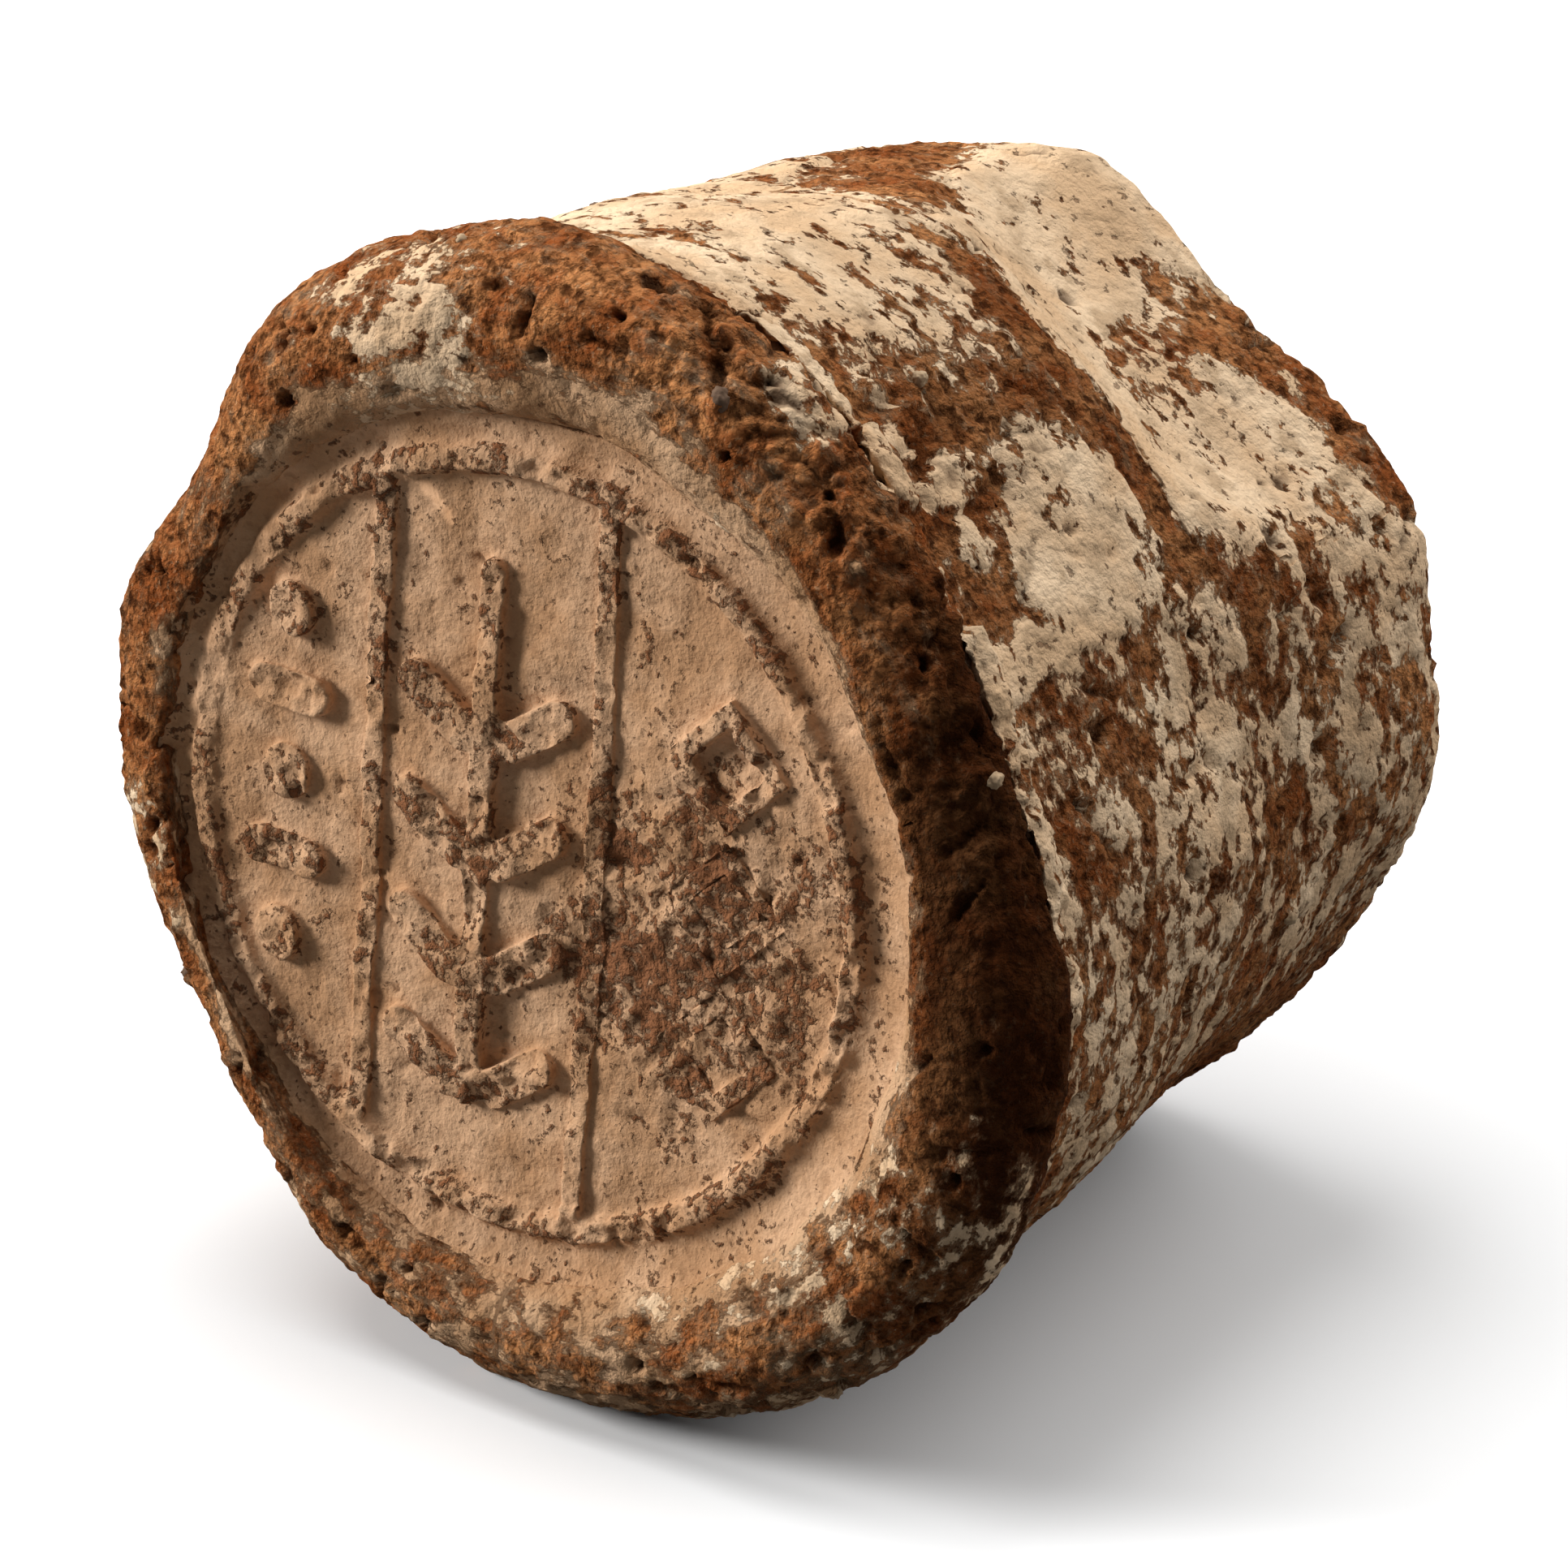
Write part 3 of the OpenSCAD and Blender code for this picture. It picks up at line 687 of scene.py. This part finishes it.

# %% [markdown]
# ## Fired silt clay, and lime on it
# Nile silt fires to a dry reddish brown with no shine at all. The eye sees brown blotches, redder
# spots, dark pores and pale sand, and lime or slip that clings in lace-like remains. Shade is painted
# in as well: darker low crumbs, grain edges and pits, and darker sides. Clay and lime share one
# pattern, so that a flake of lime and the specks round it break up in the same way. The lace is drawn
# out round the cone, the way that a hand or a brush went, and fibres are combed out more.

# %% Patterns of the clay
# Title, the coordinates it follows, size in mm, detail and roughness. Real silt is far finer than the
# finest grain here, which is drawn this coarse so that it shows.
DRAWN_OUT = (("streak", 0.55), ("comb", 0.2))
CLAY_CLOUDS = (
    ("lace", "streak", 2.4, 9, 0.72),
    ("blotch", "still", 6, 6, 0.55),
    ("spot", "still", 2.2, 4, 0.5),
    ("dirt", "still", 3.0, 7, 0.6),
    ("crumb", "still", 1.1, 6, 0.62),
    ("fine", "still", 0.35, 3, 0.5),
    ("fibre", "comb", 0.6, 4, 0.55),
)
# Crumbs with edges, by size in mm. A small wander keeps the edges from being straight.
CLAY_CELLS = (("cell", 1.4), ("grain", 0.65))
WANDER_MM = 0.9
# Title, a pattern, how much of it, and what is added to it.
CLAY_SUMS = (
    ("pored", "crumb", 4, "cell"),
    ("patch", "lace", 15, "lime"),
    ("limed", "crumb", 7, "patch"),
    ("slipped", "lace", 12, "slip"),
)
print("clay patterns:", len(CLAY_CLOUDS) + len(CLAY_CELLS) + len(CLAY_SUMS))

# %% Masks and tones of the clay
# Each mask goes from one value to another while its pattern goes from low to high. The cavity and
# crevice masks paint shade into low crumbs and grain edges, and deep paints shade into pits.
CLAY_MASKS = (
    ("brown", "blotch", 0.41, 0.59, 0, 1),
    ("red", "spot", 0.52, 0.62, 0, 0.45),
    ("cavity_shade", "crumb", 0.4, 0.49, 0.75, 0),
    ("crevice_shade", "grain", 0.5, 0.75, 0, 0.5),
    ("sand", "fine", 0.6, 0.68, 0, 0.45),
    ("slip", "slipped", 5.8, 6.3, 0, 0.95),
    ("film", "slipped", 4.8, 6.2, 0, 0.55),
    ("dirt", "dirt", 0.49, 0.63, 0, 0.6),
    ("haze", "limed", 9.8, 10.95, 0, 0.5),
    ("lime", "limed", 10.85, 11.15, 0, 1),
    ("pore", "pored", 1.74, 1.9, 0.55, 0),
    ("soot", "soot", 0, 1, 0, 0.86),
    ("deep", "deep", 0.3, 0.9, 0, 0.85),
)
# A tone lays one colour or earlier tone over another, where its mask says. The dark cavity, crevice
# and deep tones are painted shade, and the soot tone is the break's dark core and painted shade.
CLAY_TONES = (
    ("brown", "brown", "#ab6335", "#e2995f"),
    ("slip", "brown", "#b38963", "#cca580"),
    ("cream", "brown", "#dab68f", "#eed0ac"),
    ("lime", "dirt", "cream", "#a78765"),
    ("clay", "red", "brown", "#b25a29"),
    ("clay", "sand", "clay", "#d9b288"),
    ("clay", "cavity_shade", "clay", "#46220c"),
    ("clay", "crevice_shade", "clay", "#4b250e"),
    ("clay", "soot", "clay", "#331808"),
    ("clay", "film", "clay", "slip"),
    ("clay", "slip", "clay", "slip"),
    ("clay", "haze", "clay", "#c69c76"),
    ("clay", "lime", "clay", "lime"),
    ("clay", "pore", "clay", "#57301a"),
    ("clay", "deep", "clay", "#381c0a"),
)
print("clay masks:", len(CLAY_MASKS), "tones:", len(CLAY_TONES))

# %% From patterns to tones
def clay_patterns(tree, where):
    flow = add(tree, "ShaderNodeAttribute", {}, attribute_name="flow").outputs["Vector"]
    place = {"still": where}
    for title, along in DRAWN_OUT:
        place[title] = add(tree, "ShaderNodeVectorMath", {0: flow, 1: (along, 1, 1)},
                           operation="MULTIPLY").outputs[0]
    pattern = {title: add(tree, "ShaderNodeAttribute", {}, attribute_name=title).outputs["Fac"]
               for title in ("lime", "slip", "soot", "deep")}
    for title, on, size, detail, rough in CLAY_CLOUDS:
        pattern[title] = add(tree, "ShaderNodeTexNoise", {
            "Vector": place[on], "Scale": per_mm(size), "Detail": detail, "Roughness": rough}).outputs[0]
    wander = add(tree, "ShaderNodeTexNoise", {"Vector": where, "Scale": per_mm(WANDER_MM), "Detail": 3})
    gritty = add(tree, "ShaderNodeVectorMath", {
        0: wander.outputs["Color"], 1: (WANDER_MM * MM,) * 3, 2: where}, operation="MULTIPLY_ADD").outputs[0]
    for title, size in CLAY_CELLS:
        pattern[title] = add(tree, "ShaderNodeTexVoronoi", {
            "Vector": gritty, "Scale": per_mm(size)}).outputs["Distance"]
    for title, of, gain, share in CLAY_SUMS:
        pattern[title] = add(tree, "ShaderNodeMath", {0: pattern[of], 1: gain, 2: pattern[share]},
                             operation="MULTIPLY_ADD").outputs[0]
    return pattern


def coloured(tree, pattern, masks, tones, more_lime=0.0):
    """Makes masks from patterns, and lays tones over each other by the masks."""
    mask = {}
    for title, of, low, high, at_low, at_high in masks:
        less = more_lime if title == "lime" else 0
        mask[title] = add(tree, "ShaderNodeMapRange", {
            "Value": pattern[of], "From Min": low - less, "From Max": high - less,
            "To Min": at_low, "To Max": at_high}).outputs[0]
    tone = {}
    for title, by, under, over in tones:
        under, over = [tone[c] if c in tone else shade(c) for c in (under, over)]
        tone[title] = add(tree, "ShaderNodeMix", {0: mask[by], 6: under, 7: over},
                          data_type="RGBA").outputs[2]
    return mask, tone


print("finish helpers ready")

# %% Fired silt clay
CRUMB_MM, UNDER_LIME = 2.6, 0.18


def weathered(name, more_lime):
    finish, tree, shader, where = start(name)
    pattern = clay_patterns(tree, where)
    mask, tone = coloured(tree, pattern, CLAY_MASKS, CLAY_TONES, more_lime)

    # The height is in mm: crumbs, flatter under lime and slip, then the lime's own thickness and pores.
    smooth = add(tree, "ShaderNodeMath", {0: mask["lime"], 1: mask["slip"]}, operation="MAXIMUM").outputs[0]
    rugged = add(tree, "ShaderNodeMapRange", {
        "Value": smooth, "To Min": 1.0, "To Max": UNDER_LIME}).outputs[0]
    height = add(tree, "ShaderNodeMath", {0: pattern["crumb"], 1: CRUMB_MM}, operation="MULTIPLY").outputs[0]
    for layer, gain in ((pattern["grain"], -0.5), (pattern["cell"], -0.5), (pattern["fibre"], 0.25)):
        height = add(tree, "ShaderNodeMath", {0: layer, 1: gain, 2: height},
                     operation="MULTIPLY_ADD").outputs[0]
    height = add(tree, "ShaderNodeMath", {0: height, 1: rugged}, operation="MULTIPLY").outputs[0]
    for layer, gain in ((mask["lime"], 0.14), (mask["pore"], -0.3), (pattern["fine"], 0.1),
                        (pattern["dirt"], 0.5)):
        height = add(tree, "ShaderNodeMath", {0: layer, 1: gain, 2: height},
                     operation="MULTIPLY_ADD").outputs[0]
    bump = add(tree, "ShaderNodeBump", {"Height": height, "Strength": 1.0, "Distance": MM})
    tree.links.new(tone["clay"], shader.inputs["Base Color"])
    tree.links.new(bump.outputs[0], shader.inputs["Normal"])
    shader.inputs["Roughness"].default_value = 0.95
    shader.inputs["Specular IOR Level"].default_value = 0.02
    return finish


CLAY = weathered("fired_silt_clay", 0.0)
print(CLAY.name, len(CLAY.node_tree.nodes), "nodes")

# %% [markdown]
# ## Lime wash
# Lime wash dries to a chalky cream. It is smoother than the clay, spotted with pin holes, dirtier where
# dust sits, and open where it is worn so thin that the clay shows. It is the clay's pattern again, with
# a little more lime.

# %% Lime wash
MORE_LIME = 0.25
LIMEWASH = weathered("chalky_lime_wash", MORE_LIME)
print(LIMEWASH.name, len(LIMEWASH.node_tree.nodes), "nodes")

# %% [markdown]
# ## Fine face clay
# The stamped face was smoothed with a fine wash of the same silt, so it is tan and closed, with tiny
# pores. Where the wash has rubbed off, on the raised parts and the worn side, the red brown body shows.
# Its masks and tones work as the clay's do, with fewer patterns.

# %% Patterns and tones of the face
FACE_CLOUDS = (("blotch", 6, 6, 0.55), ("crumb", 0.8, 5, 0.6), ("fine", 0.3, 3, 0.5))
FACE_CELL_MM = 0.8
FACE_SUMS = (("pored", "crumb", 2, "cell"), ("rubbed", "crumb", 8, "worn"))
FACE_MASKS = (
    ("tan", "blotch", 0.41, 0.59, 0, 1),
    # Darker where the crumb pattern is low; the same pattern sets the bump.
    ("dark_low_crumb", "crumb", 0.38, 0.48, 0.3, 0),
    ("body", "crumb", 0.42, 0.58, 0, 1),
    ("worn", "rubbed", 4.0, 4.8, 0, 0.95),
    ("pore", "pored", 0.92, 1.06, 0.5, 0),
    # Deep paints shade into the pressed pits.
    ("deep", "deep", 0.3, 0.9, 0, 0.7),
)
FACE_TONES = (
    ("face", "tan", "#c0936c", "#d5aa84"),
    ("body", "body", "#6c4229", "#9c6643"),
    ("face", "dark_low_crumb", "face", "#8b6344"),
    ("face", "worn", "face", "body"),
    ("face", "pore", "face", "#6e4c32"),
    ("face", "deep", "face", "#4a2f1d"),
)
print("face masks:", len(FACE_MASKS), "tones:", len(FACE_TONES))

# %% Fine face clay
WASHED_MM, BODY_MM = 0.25, 1.4


def face_clay():
    finish, tree, shader, where = start("fine_slipped_clay")
    pattern = {title: add(tree, "ShaderNodeAttribute", {}, attribute_name=title).outputs["Fac"]
               for title in ("worn", "deep")}
    for title, size, detail, rough in FACE_CLOUDS:
        pattern[title] = add(tree, "ShaderNodeTexNoise", {
            "Vector": where, "Scale": per_mm(size), "Detail": detail, "Roughness": rough}).outputs[0]
    pattern["cell"] = add(tree, "ShaderNodeTexVoronoi", {
        "Vector": where, "Scale": per_mm(FACE_CELL_MM)}).outputs["Distance"]
    for title, of, gain, share in FACE_SUMS:
        pattern[title] = add(tree, "ShaderNodeMath", {0: pattern[of], 1: gain, 2: pattern[share]},
                             operation="MULTIPLY_ADD").outputs[0]
    mask, tone = coloured(tree, pattern, FACE_MASKS, FACE_TONES)

    # The height is in mm, and the worn body is rougher than the washed skin.
    rough = add(tree, "ShaderNodeMapRange", {
        "Value": mask["worn"], "To Min": WASHED_MM, "To Max": BODY_MM}).outputs[0]
    height = add(tree, "ShaderNodeMath", {0: pattern["crumb"], 1: rough}, operation="MULTIPLY").outputs[0]
    for layer, gain in ((mask["pore"], -0.25), (pattern["fine"], 0.08), (mask["worn"], -0.06)):
        height = add(tree, "ShaderNodeMath", {0: layer, 1: gain, 2: height},
                     operation="MULTIPLY_ADD").outputs[0]
    bump = add(tree, "ShaderNodeBump", {"Height": height, "Strength": 1.0, "Distance": MM})
    tree.links.new(tone["face"], shader.inputs["Base Color"])
    tree.links.new(bump.outputs[0], shader.inputs["Normal"])
    shader.inputs["Roughness"].default_value = 0.92
    shader.inputs["Specular IOR Level"].default_value = 0.05
    return finish


FACE = face_clay()
print(FACE.name, len(FACE.node_tree.nodes), "nodes")

# %% [markdown]
# ## Limestone grit
# The grit is desert limestone, off-white and dull, with a few grey brown pebbles among it. The dark
# attribute of a stone says which of the two it is.

# %% Grit stone
SPECK_MM, SPECK_HEIGHT_MM = 0.6, 0.2


def grit_stone():
    finish, tree, shader, where = start("limestone_grit")
    speck = add(tree, "ShaderNodeTexNoise", {
        "Vector": where, "Scale": per_mm(SPECK_MM), "Detail": 4}).outputs[0]
    dark = add(tree, "ShaderNodeAttribute", {}, attribute_name="dark").outputs["Fac"]
    pale, grey = [add(tree, "ShaderNodeMix", {0: speck, 6: shade(low), 7: shade(high)},
                      data_type="RGBA").outputs[2]
                  for low, high in (("#96785b", "#c9b08f"), ("#4c3a2e", "#7d6552"))]
    stone = add(tree, "ShaderNodeMix", {0: dark, 6: pale, 7: grey}, data_type="RGBA")
    bump = add(tree, "ShaderNodeBump", {"Height": speck, "Strength": 0.5, "Distance": SPECK_HEIGHT_MM * MM})
    tree.links.new(stone.outputs[2], shader.inputs["Base Color"])
    tree.links.new(bump.outputs[0], shader.inputs["Normal"])
    shader.inputs["Roughness"].default_value = 0.9
    shader.inputs["Specular IOR Level"].default_value = 0.1
    return finish


STONE = grit_stone()
print(STONE.name, len(STONE.node_tree.nodes), "nodes")

# %% [markdown]
# ## Dress the pieces
# Each piece gets its finish, rides on the one body that the cone is, and takes the place of its CAD
# node.

# %% Dress the pieces
dressed = [
    (shank, "shank", "coarse_clay", CLAY),
    (collar, "head_collar", "coarse_clay", CLAY),
    (face, "stamped_pad", "fine_clay", FACE),
    (shank_limewash, "shank_wash", "lime_wash", LIMEWASH),
    (hollow_limewash, "hollow_wash", "lime_wash", LIMEWASH),
    (collar_limewash, "collar_wash", "lime_wash", LIMEWASH),
    (seam, "seam_fill", "lime_wash", LIMEWASH),
    (grit, "temper_grit", "grit", STONE),
]
for piece, node, slot, finish in dressed:
    piece.data.materials.clear()
    piece.data.materials.append(finish)
    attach(piece, "root")
    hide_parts(node)
    piece.data.calc_loop_triangles()
    print(piece.name, len(piece.data.loop_triangles), "triangles")

# %% [markdown]
# ## Floor, light and camera
# A white floor keeps the soft shadow. It looks white to the camera but gives little light back, so the
# underside stays dark. A lamp of pi watts per square metre shows a colour as it is written. One lamp
# rakes the face from the left, so that the low relief shows. A wider one stands above the head, and a
# third, the widest, lights the right flank from behind. A dim sky fills the rest.

# %% Floor and sky
FILL, BOUNCE = 0.08, "#6a6a6a"
WHITE = shade("#ffffff")


def seen_straight(tree):
    """1 for what the camera, a reflection or a clear piece sees, and 0 for light that bounces."""
    path = add(tree, "ShaderNodeLightPath", {}).outputs
    seen = path["Is Camera Ray"]
    for kind in ("Is Glossy Ray", "Is Transmission Ray"):
        seen = add(tree, "ShaderNodeMath", {0: seen, 1: path[kind]}, operation="MAXIMUM").outputs[0]
    return seen


bpy.ops.object.select_all(action="DESELECT")
bpy.ops.mesh.primitive_plane_add(size=6, location=(0, 0, 0))
floor = bpy.context.object
floor.name = "floor"
paper = bpy.data.materials.new("white_floor")
paper.use_nodes = True
tree = paper.node_tree
shader = tree.nodes["Principled BSDF"]
tint = add(tree, "ShaderNodeMix", {0: seen_straight(tree), 6: shade(BOUNCE), 7: WHITE}, data_type="RGBA")
tree.links.new(tint.outputs[2], shader.inputs["Base Color"])
shader.inputs["Roughness"].default_value = 1.0
shader.inputs["Specular IOR Level"].default_value = 0.0
floor.data.materials.append(paper)

sky = bpy.data.worlds.new("studio")
sky.use_nodes = True
bpy.context.scene.world = sky
tree = sky.node_tree
level = add(tree, "ShaderNodeMapRange", {"Value": seen_straight(tree), "To Min": FILL, "To Max": 1.0})
tree.links.new(level.outputs[0], tree.nodes["Background"].inputs["Strength"])
tree.nodes["Background"].inputs["Color"].default_value = WHITE
print("the sky fills with", FILL)

# %% Lamps
PLAIN = math.pi
# Where each lamp's light comes from, its share of the plain level, and its width in degrees.
LAMPS = {
    "left_softbox": (Vector((-0.84, -0.42, 0.34)), 1.22, 22),
    "top_softbox": (Vector((-0.3, 0.1, 0.95)), 0.62, 40),
    "rear_softbox": (Vector((0.4, 0.6, 0.69)), 0.64, 70),
}
for name, (comes_from, share, wide) in LAMPS.items():
    bpy.ops.object.light_add(type="SUN", location=comes_from)
    lamp = bpy.context.object
    lamp.name = name
    lamp.rotation_mode = "QUATERNION"
    lamp.rotation_quaternion = comes_from.to_track_quat("Z", "Y")
    lamp.data.energy = share * PLAIN
    lamp.data.angle = math.radians(wide)
    print(name, round(lamp.data.energy, 2), "W per square metre")

# %% [markdown]
# The camera stands to the right of the face and looks down on it. Its turn, its height and its lens
# were worked out from the ring's ellipse and the outline in the photograph.

# %% Camera
AZIMUTH, ELEVATION = math.radians(36.858), math.radians(27.642)
DISTANCE_MM, SENSOR, LENS = 600, 36, 205.3
orbit = Vector((0, -2.146, 40.962)) * MM
aim = Vector((12.203, 9.330, 44.517)) * MM
level_way = math.cos(ELEVATION)
back = Vector((math.sin(AZIMUTH) * level_way, -math.cos(AZIMUTH) * level_way, math.sin(ELEVATION)))
eye = bpy.data.cameras.new("camera")
camera = bpy.data.objects.new("camera", eye)
bpy.context.scene.collection.objects.link(camera)
camera.location = orbit + back * DISTANCE_MM * MM
camera.rotation_mode = "QUATERNION"
camera.rotation_quaternion = (aim - camera.location).to_track_quat("-Z", "Y")
eye.sensor_width = SENSOR
eye.lens = LENS
bpy.context.scene.camera = camera
bpy.context.scene.view_settings.view_transform = "Standard"
print("camera at", [round(v / MM) for v in camera.location], "mm")
